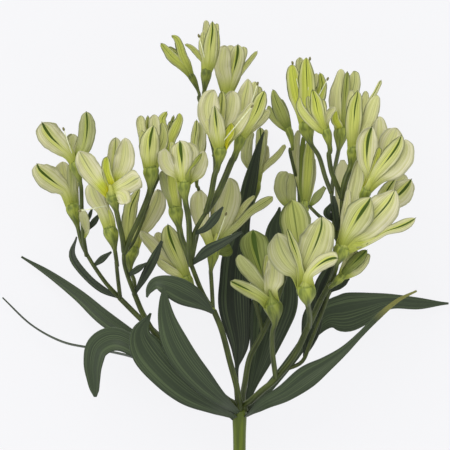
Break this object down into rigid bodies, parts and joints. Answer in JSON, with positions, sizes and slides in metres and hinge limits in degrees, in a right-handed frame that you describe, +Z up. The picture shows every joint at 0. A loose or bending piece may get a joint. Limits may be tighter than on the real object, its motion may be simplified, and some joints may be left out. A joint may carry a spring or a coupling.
{
  "type": "alstroemeria stem",
  "caption": "Cut alstroemeria stem lying down, with a whorl of lance-shaped leaves and a branched umbel of cream blooms with green stripes and buds.",
  "frame": {"origin": "centre of the bounding box in plan, on the surface that the stem lies on", "axes": "+Y along the stem from its cut end to the blooms, +Z up from the surface, +X to the right seen from above"},
  "size_m": [0.234, 0.3984, 0.1177],
  "materials": {
    "stalk": "satin plant skin",
    "leaf": "satin leaf with a faint bloom",
    "tepal": "soft matte petal"
  },
  "bodies": {
    "root": {"bloom_a": "tepal", "bloom_b": "tepal", "bloom_c": "tepal", "bloom_d": "tepal", "bloom_d2": "tepal", "bloom_e": "tepal", "bloom_f": "tepal", "bloom_g": "tepal", "bloom_g2": "tepal", "bloom_h": "tepal", "bloom_i": "tepal", "bloom_j": "tepal", "bloom_j2": "tepal", "bloom_k": "tepal", "bloom_l": "tepal", "bloom_l2": "tepal", "bloom_m": "tepal", "bloom_m2": "tepal", "bloom_n": "tepal", "bloom_n2": "tepal", "bloom_o": "tepal", "bloom_p": "tepal", "bloom_q": "tepal", "bloom_r": "tepal", "bloom_s": "tepal", "bloom_tf": "tepal", "bloom_tl": "tepal", "bloom_u": "tepal", "bloom_u2": "tepal", "bloom_v": "tepal", "bloom_w": "tepal", "leaf_1": "leaf", "leaf_10": "leaf", "leaf_2": "leaf", "leaf_3": "leaf", "leaf_4": "leaf", "leaf_5": "leaf", "leaf_6": "leaf", "leaf_7": "leaf", "leaf_8": "leaf", "leaf_9": "leaf", "ray_a": "stalk", "ray_b": "stalk", "ray_c": "stalk", "ray_d": "stalk", "ray_e": "stalk", "stem": "stalk"}
  },
  "joints": []
}
